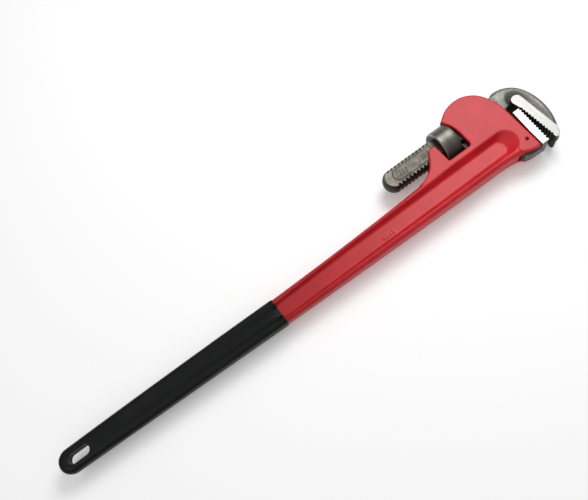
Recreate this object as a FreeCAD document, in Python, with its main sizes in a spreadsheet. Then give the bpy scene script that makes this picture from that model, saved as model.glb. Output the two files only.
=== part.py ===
"""Pipe wrench, 900 mm class, drawn as an assembly of its separate pieces.

Every piece is drawn in the casting's own axes: x runs from the tail of the handle to the jaws,
y runs from the front edge to the back (the side with the adjusting nut), and z is the thickness,
with z = 0 on the middle plane. The hook jaw and the nut are drawn about the shank's axis, which
is their local y = 0. Each piece's Placement then moves it to the assembly's origin: the middle of
the wrench's footprint when it lies on its side, on the plane that it rests on.
"""
import FreeCAD, Part
import math
import os

import Sketcher

doc = FreeCAD.newDocument("pipe_wrench")

# ---------------------------------------------------------------- driving dimensions (mm, degrees)
SIZES = [
    # whole wrench
    ("overall_length", 900.0, "tail of the grip to the outside of the hook"),
    ("footprint_mid_y", 21.6, "middle of the wrench's width, in casting axes"),
    ("nut_outer_radius", 27.65, "the nut's rim, the widest thing through the thickness"),
    ("shank_axis_y", 51.1, "height of the shank's and nut's axis"),
    # handle casting: the beam
    ("beam_depth_through", 31.6, "thickness of the beam where it meets the head"),
    ("tail_centre_x", 19.0, ""),
    ("tail_centre_y", -6.45, ""),
    ("tail_radius", 16.45, ""),
    ("beam_back_tail_y", 10.0, "back edge at the tail"),
    ("beam_back_grip_y", 9.7, "back edge where the grip stops"),
    ("beam_front_tail_y", -22.9, ""),
    ("beam_front_grip_y", -32.6, ""),
    ("grip_end_x", 374.0, "where the grip stops"),
    ("back_rise_radius", 6827.0, "long sweep of the back edge"),
    ("front_sweep_radius", 20200.0, "long sweep of the front edge"),
    ("front_neck_x", 772.0, ""),
    ("front_neck_y", -37.1, ""),
    ("front_flare_x", 822.0, ""),
    ("front_flare_y", -43.8, ""),
    ("front_flare_radius", 187.0, ""),
    ("heel_corner_x", 841.0, ""),
    ("heel_corner_y", -48.0, ""),
    ("heel_corner_radius", 150.0, ""),
    ("beam_root_x", 700.0, "where the beam's back edge dies into the horn"),
    ("beam_root_y", 17.8, ""),
    ("beam_inner_y", 12.0, "the head covers the beam's outline from here up"),
    ("beam_edge_round", 7.5, "rounding of the beam's long edges"),
    ("half_depth_tail", 8.2, "half thickness at the tail"),
    ("half_depth_neck", 15.8, "half thickness at the neck"),
    ("taper_tail_x", -5.0, ""),
    ("taper_neck_x", 690.0, ""),
    ("taper_radius", 46000.0, "side faces sweep out from the tail to the neck"),
    # handle casting: the recess in each side of the beam
    ("recess_floor", 6.0, "half thickness of the web"),
    ("recess_tail_x", 70.0, ""),
    ("recess_tail_front_y", -20.0, ""),
    ("recess_tail_back_y", 4.0, ""),
    ("recess_front_y", -31.0, "front rim of the recess, from the grip to the head"),
    ("recess_grip_back_y", 6.0, ""),
    ("recess_bend_x", 500.0, "where the back rim bends"),
    ("recess_back_y", 9.5, "back rim of the recess, from the bend to the head"),
    ("recess_end_x", 803.5, ""),
    ("recess_end_radius", 20.25, ""),
    ("recess_mid_y", -10.75, ""),
    ("web_inset_x", 9.0, "the web's end lies this far inside the rim's"),
    ("web_tail_inset_x", 10.0, ""),
    ("web_tail_front_y", -14.0, ""),
    ("web_tail_back_y", -2.0, ""),
    ("web_grip_front_y", -24.0, ""),
    ("web_grip_back_y", -2.7, ""),
    ("web_front_y", -22.3, ""),
    ("web_back_y", 2.6, ""),
    ("web_bend_y", 1.0, ""),
    ("web_end_radius", 12.4, ""),
    # handle casting: the head
    ("head_depth_through", 34.0, "thickness of the head"),
    ("head_edge_round", 2.5, ""),
    ("head_face_x", 842.5, "end face that carries the heel jaw"),
    ("head_face_top_y", 30.0, ""),
    ("head_face_foot_y", -46.0, ""),
    ("head_flange_x", 815.0, "step between the head's side face and the front flange"),
    ("head_flange_y", -28.0, ""),
    ("head_flange_foot_x", 811.0, ""),
    ("head_flange_foot_y", -38.5, ""),
    ("head_flange_radius", 7.5, ""),
    ("head_flange_sweep", 40.0, "radius of the flange's edge from the step to the heel corner"),
    ("crown_foot_x", 834.0, ""),
    ("crown_foot_y", 69.5, ""),
    ("crown_foot_radius", 96.0, ""),
    ("crown_x", 793.0, "highest point of the hump"),
    ("crown_y", 95.7, ""),
    ("crown_front_radius", 45.2, ""),
    ("crown_back_radius", 57.4, ""),
    ("crown_heel_x", 757.0, ""),
    ("crown_heel_y", 83.0, ""),
    ("window_lip_x", 750.0, ""),
    ("window_lip_y", 78.5, ""),
    ("window_wall_x", 761.0, "jaw-side wall of the nut's window"),
    ("window_wall_y", 45.0, ""),
    ("window_wall_radius", 56.4, ""),
    ("window_floor_y", 19.2, ""),
    ("window_corner_radius", 4.8, ""),
    ("horn_wall_x", 718.0, "tail-side wall of the nut's window"),
    ("horn_top_y", 53.5, ""),
    ("horn_tip_radius", 6.0, ""),
    ("horn_top_length", 10.0, ""),
    ("horn_shoulder_x", 703.1, ""),
    ("horn_shoulder_y", 51.0, ""),
    ("horn_slope_x", 691.4, ""),
    ("horn_slope_y", 34.6, ""),
    ("horn_foot_x", 656.7, ""),
    ("horn_foot_y", 15.9, ""),
    ("horn_foot_radius", 45.0, ""),
    ("head_taper_x", 650.0, "where the head's side faces start to spread"),
    ("head_taper_half_depth", 14.9, ""),
    ("head_taper_end_x", 715.0, ""),
    ("head_taper_radius", 4000.0, ""),
    ("head_inner_y", 8.0, "the beam covers the head's outline from here down"),
    # channels and holes in the head
    ("channel_half_width", 12.2, "slot that the shank runs in"),
    ("channel_mouth_x", 850.0, "past the head's end face"),
    ("channel_step_x", 755.0, "the channel is deeper on the tail side of the nut"),
    ("channel_tail_x", 660.0, "past the horn"),
    ("channel_back_x", 740.0, "inside the window"),
    ("channel_open_y", 60.0, "above the horn"),
    ("channel_front_y", 31.9, ""),
    ("channel_tail_floor_y", 27.5, ""),
    ("channel_back_y", 73.2, "back wall at the window, sloped for the jaw's rocking"),
    ("channel_back_out_y", 80.2, "back wall at the mouth"),
    ("thrust_wall_x", 753.6, "faces that the nut's jaw-side end bears on"),
    ("thrust_ledge_x", 719.9, "ledge that the nut's tail-side end bears on"),
    ("thrust_pad_half_width", 7.0, ""),
    ("thrust_pad_foot_y", 15.0, "both pads reach down into the casting"),
    ("thrust_wall_depth", 11.4, "the jaw-side pad reaches this far into the casting"),
    ("thrust_ledge_depth", 3.9, ""),
    ("thrust_ledge_top_y", 30.4, ""),
    ("nut_clearance_radius", 29.6, ""),
    ("spring_pocket_x", 797.0, ""),
    ("spring_pocket_radius", 6.9, ""),
    ("spring_pocket_end_y", 89.0, ""),
    ("tongue_slot_half_width", 8.2, ""),
    ("tongue_slot_tail_x", 806.0, ""),
    ("tongue_slot_floor_y", -16.8, ""),
    ("heel_pin_x", 831.0, ""),
    ("heel_pin_y", -26.5, ""),
    ("heel_pin_radius", 2.5, ""),
    ("heel_pin_half_length", 15.2, ""),
    ("heel_pin_wall", 0.9, ""),
    # hang hole and grip
    ("hang_hole_x", 32.3, ""),
    ("hang_hole_y", -6.8, ""),
    ("hang_hole_straight", 19.5, "distance between the end radii's centres"),
    ("hang_hole_radius", 7.75, ""),
    ("grip_wall", 1.8, "thickness of the dipped sleeve"),
    ("grip_tip_extra", 0.75, "the sleeve is thicker round the tail"),
    ("grip_edge_round", 8.4, ""),
    ("grip_recess_x", 95.0, "where the hollow in the sleeve's sides starts"),
    ("grip_back_tail_y", 12.2, ""),
    ("grip_back_end_y", 10.6, "the sleeve thins towards its end"),
    ("grip_back_radius", 13700.0, ""),
    ("grip_front_tail_y", -25.0, ""),
    ("grip_front_end_y", -33.5, ""),
    ("grip_tail_half_depth", 10.0, ""),
    ("grip_end_half_depth", 13.1, "half thickness of the sleeve, just past its end"),
    # hook jaw, measured from the shank's axis
    ("thread_pitch", 7.0, ""),
    ("thread_radius", 18.7, "over the crests"),
    ("thread_depth", 2.7, ""),
    ("thread_clearance", 0.5, "between the nut's thread and the shank's, all round"),
    ("shank_end_x", 618.5, ""),
    ("shank_half_depth", 10.9, "half thickness of the shank's flats"),
    ("shank_panel_proud", 0.8, ""),
    ("shank_panel_inset", 24.0, "the panel starts this far from the shank's end"),
    ("shank_panel_stop_x", 712.0, ""),
    ("shank_panel_half_width", 9.5, ""),
    ("thread_start_x", 634.0, ""),
    ("thread_stop_x", 760.0, ""),
    ("arm_half_depth", 13.0, ""),
    ("arm_round", 9.0, "rounding of the arm's outer edges"),
    ("arm_root_x", 845.0, "the arm starts inside the shank here"),
    ("arm_root_back_y", 19.4, ""),
    ("arm_inner_x", 869.5, "the arm's edge under the toothed block"),
    ("arm_inner_nose_y", -97.0, ""),
    ("arm_throat_x", 866.0, ""),
    ("arm_throat_y", -30.0, ""),
    ("throat_corner_x", 862.6, ""),
    ("throat_corner_y", -22.0, ""),
    ("throat_radius", 10.5, ""),
    ("hook_shoulder_x", 852.0, "where the shank's back runs into the hook"),
    ("hook_shoulder_y", 21.2, ""),
    ("hook_top_x", 893.0, ""),
    ("hook_top_y", -5.1, ""),
    ("hook_side_y", -39.1, "the point farthest from the tail"),
    ("nose_back_x", 880.5, ""),
    ("nose_back_y", -97.1, ""),
    ("nose_tip_x", 876.0, ""),
    ("nose_tip_y", -102.0, ""),
    ("block_throat_x", 857.5, "toothed block of the hook"),
    ("block_throat_y", -17.0, ""),
    ("block_throat_radius", 9.5, ""),
    ("block_top_x", 876.0, ""),
    ("block_top_y", -14.0, ""),
    ("block_back_x", 881.0, ""),
    ("block_back_y", -89.0, ""),
    ("block_nose_x", 877.0, ""),
    ("block_nose_y", -98.5, ""),
    ("block_tip_x", 870.0, ""),
    ("block_tip_y", -103.4, "the point farthest from the shank"),
    ("block_bevel_x", 866.3, ""),
    ("block_bevel_y", -103.2, ""),
    ("jaw_half_depth", 17.0, "half thickness of both jaws' toothed blocks"),
    ("hook_outer_radius", 45.1, ""),
    ("hook_side_radius", 86.0, ""),
    ("hook_nose_radius", 96.0, ""),
    ("hook_lean", 3.9, "lean of the hook's toothed face from square, degrees"),
    ("heel_lean", 3.3, "lean of the heel's toothed face from square, degrees"),
    ("tooth_pitch", 5.6, ""),
    ("tooth_depth", 2.3, ""),
    ("hook_teeth", 12, ""),
    ("heel_teeth", 12, ""),
    ("hook_tooth_x", 860.6, "the hook's tooth crests at the throat"),
    ("hook_tooth_y", -30.6, ""),
    ("jaw_face_length", 69.0, "toothed length of both jaws"),
    ("heel_foot_y", -47.8, ""),
    ("heel_seat_x", 841.9, "the heel jaw's back, against the head"),
    ("heel_seat_bend_x", 843.1, ""),
    ("heel_seat_bend_y", -15.0, ""),
    ("heel_top_x", 846.0, ""),
    ("tongue_tail_x", 812.0, "the heel jaw's tongue, in the slot of the head"),
    ("tongue_front_tail_y", -46.5, ""),
    ("tongue_front_root_y", -48.5, ""),
    ("tongue_belly_radius", 60.0, ""),
    ("tongue_root_x", 845.0, ""),
    ("tongue_back_y", -17.0, ""),
    ("heel_tooth_x", 859.2, "the heel's tooth crests at the throat"),
    ("heel_tooth_y", 21.5, ""),
    # adjusting nut
    ("nut_x", 736.75, "middle of the nut"),
    ("nut_length", 29.1, ""),
    ("nut_chamfer", 1.4, ""),
    # spring assembly
    ("leaf_gap", 0.45, "between the leaf and the thread crests"),
    ("leaf_thickness", 1.2, ""),
    ("leaf_half_width", 8.5, ""),
    ("leaf_start_x", 766.0, ""),
    ("leaf_stop_x", 830.0, ""),
    ("rivet_radius", 2.0, ""),
    ("coil_mean_radius", 5.2, ""),
    ("coil_wire_radius", 0.9, ""),
    ("coil_turns", 4.5, ""),
]

sheet = doc.addObject("Spreadsheet::Sheet", "sizes")
for row, (alias, value, remark) in enumerate(SIZES, start=1):
    sheet.set("A%d" % row, alias)
    sheet.set("B%d" % row, str(value))
    sheet.setAlias("B%d" % row, alias)
    sheet.set("C%d" % row, remark)
doc.recompute()


def size(alias):
    """Value of one driving dimension."""
    return float(sheet.get(alias))


# ---------------------------------------------------------------- drawing helpers
def new_body(label, about_shank=False):
    """A body whose axes are the casting's, or the shank's, set down at the assembly's origin."""
    body = doc.addObject("PartDesign::Body", label)
    body.Label = label
    body.setExpression("Placement.Base.x", "-sizes.overall_length / 2")
    lift = "sizes.shank_axis_y" if about_shank else "0"
    body.setExpression("Placement.Base.y", lift + " - sizes.footprint_mid_y")
    body.setExpression("Placement.Base.z", "sizes.nut_outer_radius")
    return body


def origin_plane(body, role):
    """One of the body's own origin planes or axes."""
    return next(item for item in body.Origin.OriginFeatures if item.Role == role)


def new_sketch(body, name, role="XY_Plane", **offsets):
    """A sketch on an origin plane; x, y, z offsets are in the sketch's own axes."""
    sketch = body.newObject("Sketcher::SketchObject", name)
    sketch.AttachmentSupport = [(origin_plane(body, role), "")]
    sketch.MapMode = "FlatFace"
    for axis, offset in offsets.items():
        sketch.setExpression("AttachmentOffset.Base." + axis, offset)
    return sketch


def coordinate(value):
    """Number and bound expression of a coordinate: a number, or an alias with an optional minus."""
    if isinstance(value, str):
        if value.startswith("-"):
            return -size(value[1:]), "-sizes." + value[1:]
        return size(value), "sizes." + value
    return float(value), None


def pin_point(sketch, geometry, place, point):
    """Fix one end of a line or arc to its coordinates, bound to the sheet where they are named."""
    for kind, value in zip(("DistanceX", "DistanceY"), point):
        number, expression = coordinate(value)
        index = sketch.addConstraint(Sketcher.Constraint(kind, -1, 1, geometry, place, number))
        if expression:
            sketch.setExpression("Constraints[%d]" % index, expression)


def outline(sketch, corners):
    """Close a profile through corners (x, y) or (x, y, "left" or "right", radius).

    The third and fourth entries make the next edge an arc that turns that way.
    """
    ends = []
    for corner, following in zip(corners, corners[1:] + corners[:1]):
        start = FreeCAD.Vector(coordinate(corner[0])[0], coordinate(corner[1])[0], 0)
        stop = FreeCAD.Vector(coordinate(following[0])[0], coordinate(following[1])[0], 0)
        if len(corner) == 2:
            geometry = sketch.addGeometry(Part.LineSegment(start, stop), False)
            ends.append((geometry, 1, 2))
            continue
        radius, radius_expression = coordinate(corner[3])
        side = 1.0 if corner[2] == "left" else -1.0
        chord = stop - start
        rise = math.sqrt(max(radius ** 2 - (chord.Length / 2) ** 2, 0.0))
        normal = FreeCAD.Vector(-chord.y, chord.x, 0).normalize()
        centre = (start + stop) * 0.5 + normal * (side * rise)
        first, last = (start, stop) if side > 0 else (stop, start)
        angles = [math.atan2(point.y - centre.y, point.x - centre.x) for point in (first, last)]
        circle = Part.Circle(centre, FreeCAD.Vector(0, 0, 1), radius)
        geometry = sketch.addGeometry(Part.ArcOfCircle(circle, angles[0], angles[1]), False)
        ends.append((geometry, 1, 2) if side > 0 else (geometry, 2, 1))
        index = sketch.addConstraint(Sketcher.Constraint("Radius", geometry, radius))
        if radius_expression:
            sketch.setExpression("Constraints[%d]" % index, radius_expression)
    for (geometry, _, stop_place), (other, start_place, _) in zip(ends, ends[1:] + ends[:1]):
        sketch.addConstraint(Sketcher.Constraint("Coincident", geometry, stop_place, other, start_place))
    for corner, (geometry, start_place, _) in zip(corners, ends):
        pin_point(sketch, geometry, start_place, corner[:2])


def circle(sketch, x, y, radius):
    """A circle at (x, y), each a number or an alias."""
    numbers = [coordinate(value)[0] for value in (x, y, radius)]
    centre = FreeCAD.Vector(numbers[0], numbers[1], 0)
    geometry = sketch.addGeometry(Part.Circle(centre, FreeCAD.Vector(0, 0, 1), numbers[2]), False)
    pin_point(sketch, geometry, 3, (x, y))
    index = sketch.addConstraint(Sketcher.Constraint("Radius", geometry, numbers[2]))
    if coordinate(radius)[1]:
        sketch.setExpression("Constraints[%d]" % index, coordinate(radius)[1])


def finish_feature(body, feature, cuts):
    """Recompute and stop if the feature failed, or added or removed nothing."""
    before = body.BaseVolume if hasattr(body, "BaseVolume") else None
    doc.recompute()
    if not feature.isValid() or feature.Shape.isNull():
        raise RuntimeError("%s in %s failed" % (feature.Label, body.Label))
    if before is None:
        body.addProperty("App::PropertyFloat", "BaseVolume", "Check", "volume after the last feature")
    change = feature.Shape.Volume - (before or 0.0)
    if (change > -1e-3 and cuts) or (change < 1e-3 and not cuts):
        raise RuntimeError("%s in %s changed nothing" % (feature.Label, body.Label))
    body.BaseVolume = feature.Shape.Volume
    return feature


def pad(body, name, sketch, length, reversed_side=False, both=True):
    """Pad a sketch; both sides of its plane unless told otherwise."""
    feature = body.newObject("PartDesign::Pad", name)
    feature.Profile = sketch
    feature.SideType = "Symmetric" if both else "One side"
    feature.Reversed = reversed_side
    feature.setExpression("Length", length)
    return finish_feature(body, feature, cuts=False)


def pocket(body, name, sketch, length=None, both=True, reversed_side=False):
    """Cut a sketch out, to a length or right through."""
    feature = body.newObject("PartDesign::Pocket", name)
    feature.Profile = sketch
    feature.SideType = "Symmetric" if both else "One side"
    feature.Reversed = reversed_side
    if length is None:
        feature.Type = "ThroughAll"
    else:
        feature.setExpression("Length", length)
    return finish_feature(body, feature, cuts=True)


def fillet(body, name, radius, wanted):
    """Round the tip's edges that the test picks out."""
    tip = body.Tip
    names = ["Edge%d" % (i + 1) for i, edge in enumerate(tip.Shape.Edges) if wanted(edge)]
    feature = body.newObject("PartDesign::Fillet", name)
    feature.Base = (tip, names)
    feature.setExpression("Radius", radius)
    return finish_feature(body, feature, cuts=True)


def mirror(body, name, feature):
    """Repeat a feature on the other side of the middle plane."""
    mirrored = body.newObject("PartDesign::Mirrored", name)
    mirrored.Originals = [feature]
    mirrored.MirrorPlane = (origin_plane(body, "XY_Plane"), [""])
    body.Tip = mirrored
    cuts = "Pocket" in feature.TypeId or "Subtractive" in feature.TypeId
    return finish_feature(body, mirrored, cuts)


def level(edge, height):
    """True where the whole edge lies at +height or -height in the thickness."""
    box = edge.BoundBox
    return abs(abs(box.ZMin) - height) < 1e-4 and abs(box.ZMax - box.ZMin) < 1e-4


# ---------------------------------------------------------------- handle casting
def beam_front_edge():
    """Front edge of the casting, tail to heel corner."""
    return [
        ("tail_centre_x", "beam_front_tail_y"),
        ("grip_end_x", "beam_front_grip_y", "left", "front_sweep_radius"),
        ("front_neck_x", "front_neck_y", "right", "front_flare_radius"),
        ("front_flare_x", "front_flare_y", "left", "heel_corner_radius"),
        ("heel_corner_x", "heel_corner_y"),
    ]


def cut_side_taper(body, name, tail, neck, radius):
    """Shave both side faces along a sweep between two points (x, half thickness)."""
    clear = 25.0
    sketch = new_sketch(body, name + "_profile", "XZ_Plane")
    outline(sketch, [(*tail, "left", radius), neck, (neck[0], clear), (tail[0], clear)])
    cut = pocket(body, name, sketch)
    mirror(body, name + "_other_side", cut)


def make_handle():
    body = new_body("handle")

    beam = new_sketch(body, "beam_outline")
    tail_tip_x = size("tail_centre_x") - size("tail_radius")
    outline(beam, beam_front_edge() + [
        ("heel_corner_x", "beam_inner_y"),
        (size("beam_root_x") + 12.0, "beam_inner_y"),
        ("beam_root_x", "beam_root_y", "right", "back_rise_radius"),
        ("grip_end_x", "beam_back_grip_y"),
        ("tail_centre_x", "beam_back_tail_y", "left", "tail_radius"),
        (tail_tip_x, "tail_centre_y", "left", "tail_radius"),
    ])
    pad(body, "beam", beam, "sizes.beam_depth_through")
    cut_side_taper(body, "beam_taper", ("taper_tail_x", "half_depth_tail"),
                   ("taper_neck_x", "half_depth_neck"), "taper_radius")
    fillet(body, "beam_rounding", "sizes.beam_edge_round", lambda edge: edge.BoundBox.ZLength < 9.0)

    head = new_sketch(body, "head_outline")
    outline(head, head_outline())
    pad(body, "head", head, "sizes.head_depth_through")
    cut_side_taper(body, "head_taper", ("head_taper_x", "head_taper_half_depth"),
                   ("head_taper_end_x", size("head_depth_through") / 2), "head_taper_radius")
    fillet(body, "head_rounding", "sizes.head_edge_round", is_head_rim)

    cut_recess(body)
    cut_shank_channel(body)
    add_thrust_faces(body)

    spring = new_sketch(body, "coil_pocket_circle", "XZ_Plane", z="-sizes.channel_back_y + 4")
    circle(spring, "spring_pocket_x", 0.0, "spring_pocket_radius")
    depth = "sizes.spring_pocket_end_y - sizes.channel_back_y + 4"
    pocket(body, "coil_pocket", spring, depth, both=False)

    below_front = -60.0
    slot_round = 8.0
    slot = new_sketch(body, "tongue_slot_outline")
    outline(slot, [
        ("tongue_slot_tail_x", below_front),
        ("channel_mouth_x", below_front),
        ("channel_mouth_x", "tongue_slot_floor_y"),
        (size("tongue_slot_tail_x") + slot_round, "tongue_slot_floor_y", "left", slot_round),
        ("tongue_slot_tail_x", size("tongue_slot_floor_y") - slot_round),
    ])
    pocket(body, "tongue_slot", slot, "2 * sizes.tongue_slot_half_width")

    pin = new_sketch(body, "heel_pin_circle")
    circle(pin, "heel_pin_x", "heel_pin_y", "heel_pin_radius")
    pocket(body, "heel_pin_hole", pin)

    hang = new_sketch(body, "hang_hole_outline")
    outline(hang, stadium("hang_hole_radius", "grip_wall"))
    pocket(body, "hang_hole", hang)
    return body


def head_outline():
    """Flat side face of the head, counterclockwise from the heel corner."""
    tip_round = 2.0
    corner_top_y = size("window_floor_y") + size("window_corner_radius")
    return [
        ("heel_corner_x", "head_face_foot_y"),
        ("head_face_x", "head_face_top_y", "left", "crown_foot_radius"),
        ("crown_foot_x", "crown_foot_y", "left", "crown_front_radius"),
        ("crown_x", "crown_y", "left", "crown_back_radius"),
        ("crown_heel_x", "crown_heel_y"),
        ("window_lip_x", "window_lip_y", "right", "window_wall_radius"),
        ("window_wall_x", "window_wall_y"),
        ("window_wall_x", corner_top_y, "right", "window_corner_radius"),
        (size("window_wall_x") - size("window_corner_radius"), "window_floor_y"),
        ("horn_wall_x", "window_floor_y"),
        ("horn_wall_x", size("horn_top_y") - tip_round, "left", tip_round),
        (size("horn_wall_x") - tip_round, "horn_top_y"),
        (size("horn_wall_x") - size("horn_top_length"), "horn_top_y", "left", "horn_tip_radius"),
        ("horn_shoulder_x", "horn_shoulder_y"),
        ("horn_slope_x", "horn_slope_y", "right", "horn_foot_radius"),
        ("horn_foot_x", "horn_foot_y"),
        (size("horn_foot_x") + 11.0, "head_inner_y"),
        (size("head_flange_x") - 15.0, "head_inner_y"),
        ("head_flange_x", "head_flange_y", "left", "head_flange_radius"),
        ("head_flange_foot_x", "head_flange_foot_y", "left", "head_flange_sweep"),
    ]


def is_head_rim(edge):
    """Rim of the head's side faces, without its jaw-side end and the part that dies into the beam."""
    box = edge.BoundBox
    on_face = box.ZLength < 0.9 and abs(box.Center.z) > 16.2
    above_beam = box.YMin > size("horn_foot_y") - 0.5 and box.XMin > 687.0
    taper_end = box.XLength < 0.01 and abs(box.XMin - size("horn_wall_x")) > 0.1 and box.XMin < 730.0
    jaw_end = box.YMin < 0.0
    return on_face and above_beam and not taper_end and not jaw_end


def stadium(radius, growth=None):
    """Hang hole's outline, grown by a named wall when it is the hole in the casting."""
    reach = size(radius) + (size(growth) if growth else 0.0)
    left = size("hang_hole_x") - size("hang_hole_straight") / 2
    right = size("hang_hole_x") + size("hang_hole_straight") / 2
    low = size("hang_hole_y") - reach
    high = size("hang_hole_y") + reach
    return [
        (left, low),
        (right, low, "left", reach),
        (right + reach, "hang_hole_y", "left", reach),
        (right, high),
        (left, high, "left", reach),
        (left - reach, "hang_hole_y", "left", reach),
    ]


def cut_recess(body):
    """Long tapered recess that leaves the beam an I section, cut as a loft from rim to web."""
    rim = new_sketch(body, "recess_rim", z="sizes.head_depth_through / 2")
    outline(rim, [
        ("recess_tail_x", "recess_tail_front_y"),
        ("grip_end_x", "recess_front_y"),
        ("recess_end_x", "recess_front_y", "left", "recess_end_radius"),
        (size("recess_end_x") + size("recess_end_radius"), "recess_mid_y", "left", "recess_end_radius"),
        ("recess_end_x", "recess_back_y"),
        ("recess_bend_x", "recess_back_y"),
        ("grip_end_x", "recess_grip_back_y"),
        ("recess_tail_x", "recess_tail_back_y"),
    ])
    web = new_sketch(body, "recess_web", z="sizes.recess_floor")
    web_tail_x = size("recess_tail_x") + size("web_tail_inset_x")
    web_end_x = size("recess_end_x") - size("web_inset_x")
    bulge = 8.5
    outline(web, [
        (web_tail_x, "web_tail_front_y"),
        ("grip_end_x", "web_grip_front_y"),
        (web_end_x, "web_front_y", "left", "web_end_radius"),
        (web_end_x + bulge, "recess_mid_y", "left", "web_end_radius"),
        (web_end_x, "web_back_y"),
        ("recess_bend_x", "web_bend_y"),
        ("grip_end_x", "web_grip_back_y"),
        (web_tail_x, "web_tail_back_y"),
    ])
    recess = body.newObject("PartDesign::SubtractiveLoft", "recess")
    recess.Profile = rim
    recess.Sections = [web]
    recess.Ruled = True
    finish_feature(body, recess, cuts=True)
    mirror(body, "recess_other_side", recess)


def cut_shank_channel(body):
    """Slot for the shank: a loop through the hump and an open channel between the two horns."""
    channel = new_sketch(body, "channel_outline")
    outline(channel, [
        ("channel_mouth_x", "channel_front_y"),
        ("channel_step_x", "channel_front_y"),
        ("channel_step_x", "channel_tail_floor_y"),
        ("channel_tail_x", "channel_tail_floor_y"),
        ("channel_tail_x", "channel_open_y"),
        ("channel_back_x", "channel_open_y"),
        ("channel_back_x", "channel_back_y"),
        ("channel_mouth_x", "channel_back_out_y"),
    ])
    pocket(body, "channel", channel, "2 * sizes.channel_half_width")

    swing = new_sketch(body, "nut_clearance_circle", "YZ_Plane", z="sizes.thrust_wall_x")
    circle(swing, "shank_axis_y", 0.0, "nut_clearance_radius")
    pocket(body, "nut_clearance", swing, "sizes.thrust_wall_x - sizes.horn_wall_x", both=False)


def add_thrust_faces(body):
    """Bearing pads in the window, one for each end of the nut."""
    wall_back_x = size("thrust_wall_x") + size("thrust_wall_depth")
    ledge_back_x = size("thrust_ledge_x") - size("thrust_ledge_depth")
    pads = new_sketch(body, "thrust_pad_outlines")
    outline(pads, [
        ("thrust_wall_x", "thrust_pad_foot_y"),
        (wall_back_x, "thrust_pad_foot_y"),
        (wall_back_x, "channel_front_y"),
        ("thrust_wall_x", "channel_front_y"),
    ])
    outline(pads, [
        (ledge_back_x, "thrust_pad_foot_y"),
        ("thrust_ledge_x", "thrust_pad_foot_y"),
        ("thrust_ledge_x", "thrust_ledge_top_y"),
        (ledge_back_x, "thrust_ledge_top_y"),
    ])
    pad(body, "thrust_pads", pads, "2 * sizes.thrust_pad_half_width")


# ---------------------------------------------------------------- grip sleeve
def make_grip(handle):
    """Vinyl sleeve dipped over the tail: an outer form with the casting taken out of it."""
    body = new_body("grip_form")
    wall = size("grip_wall")
    tip_radius = size("tail_radius") + wall + size("grip_tip_extra") / 2
    tip_x = size("tail_centre_x") - size("tail_radius") - wall - size("grip_tip_extra")
    form = new_sketch(body, "grip_outline")
    outline(form, [
        ("tail_centre_x", "grip_front_tail_y"),
        ("grip_end_x", "grip_front_end_y"),
        ("grip_end_x", "grip_back_end_y", "left", "grip_back_radius"),
        ("tail_centre_x", "grip_back_tail_y", "left", tip_radius),
        (tip_x, "tail_centre_y", "left", tip_radius),
    ])
    pad(body, "grip_blank", form, "sizes.beam_depth_through")
    cut_side_taper(body, "grip_taper", ("taper_tail_x", "grip_tail_half_depth"),
                   (size("grip_end_x") + 26.0, "grip_end_half_depth"), "taper_radius")
    fillet(body, "grip_rounding", "sizes.grip_edge_round",
           lambda edge: edge.BoundBox.XMax < size("grip_end_x") + 1.0 and edge.BoundBox.XLength > 5.0)

    panel = new_sketch(body, "grip_recess_rim", z="sizes.head_depth_through / 2")
    beyond = size("grip_end_x") + 46.0
    outline(panel, [
        ("grip_recess_x", -18.5),
        (beyond, -32.0),
        (beyond, 6.5),
        ("grip_recess_x", 2.5),
    ])
    panel_floor = new_sketch(body, "grip_recess_floor", z="sizes.recess_floor + sizes.grip_wall")
    floor_x = size("grip_recess_x") + 15.0
    outline(panel_floor, [(floor_x, -10.0), (beyond, -20.0), (beyond, -6.5), (floor_x, -5.0)])
    recess = body.newObject("PartDesign::SubtractiveLoft", "grip_recess")
    recess.Profile = panel
    recess.Sections = [panel_floor]
    recess.Ruled = True
    finish_feature(body, recess, cuts=True)
    mirror(body, "grip_recess_other_side", recess)

    hang = new_sketch(body, "grip_hang_hole_outline")
    outline(hang, stadium("hang_hole_radius"))
    pocket(body, "grip_hang_hole", hang)

    grip = doc.addObject("Part::Cut", "grip")
    grip.Label = "grip"
    grip.Base = body
    grip.Tool = handle
    return grip


# ---------------------------------------------------------------- jaws
def cut_teeth(body, corner, lean, count, toward):
    """Straight V teeth down a jaw's face; toward is +1 where the teeth point to +x."""
    tooth = new_sketch(body, body.Label + "_tooth")
    tooth.setExpression("AttachmentOffset.Base.x", "sizes.%s_x" % corner)
    tooth.setExpression("AttachmentOffset.Base.y", "sizes.%s_y" % corner)
    tooth.setExpression("AttachmentOffset.Rotation.Angle", lean)
    depth = size("tooth_depth") * toward
    pitch = size("tooth_pitch")
    outline(tooth, [
        (toward * 0.6, 0.4 - pitch),
        (toward * 0.6, -0.4),
        (0.0, -0.4),
        (-depth, -0.45 * pitch),
        (0.0, 0.4 - pitch),
    ])
    cut = pocket(body, "tooth_gap", tooth)
    row = body.newObject("PartDesign::LinearPattern", "tooth_row")
    row.Originals = [cut]
    row.Direction = (tooth, ["V_Axis"])
    row.Reversed = True
    row.Mode = "Spacing"
    row.setExpression("Offset", "sizes.tooth_pitch")
    row.setExpression("Occurrences", count)
    body.Tip = row
    finish_feature(body, row, cuts=True)


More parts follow.
